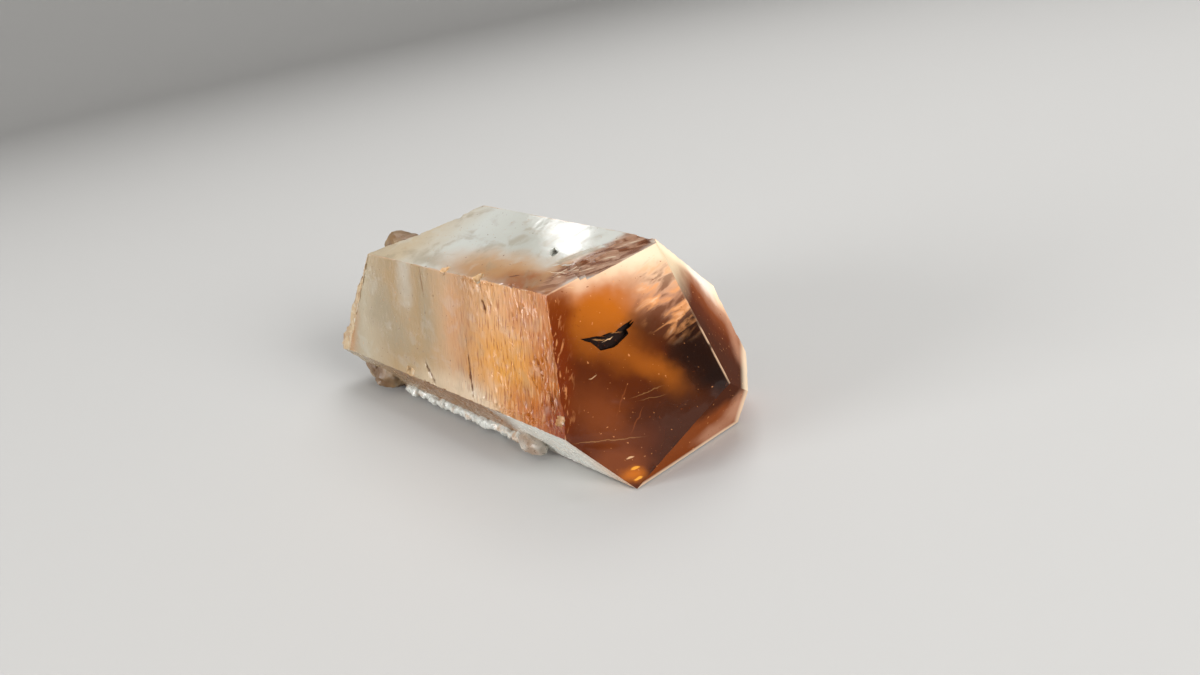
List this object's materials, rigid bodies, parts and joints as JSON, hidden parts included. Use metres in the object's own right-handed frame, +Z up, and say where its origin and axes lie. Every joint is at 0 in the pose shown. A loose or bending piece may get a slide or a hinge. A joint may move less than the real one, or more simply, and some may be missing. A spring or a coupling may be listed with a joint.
{
  "type": "quartz crystal wand",
  "caption": "Natural smoky amber quartz point with a faceted tip and a broken end, lying on one prism side; a display piece or hand-held crystal.",
  "frame": {"origin": "middle of the crystal's outline, on the surface it lies on", "axes": "+X along the long axis towards the tip, +Z up, +Y away from the striated front side"},
  "size_m": [0.0678, 0.027, 0.0264],
  "materials": {
    "smoky_quartz": "clear to frosted, amber brown at the tip and pale at the broken end"
  },
  "bodies": {
    "root": {"quartz_crystal": "smoky_quartz"}
  },
  "joints": []
}
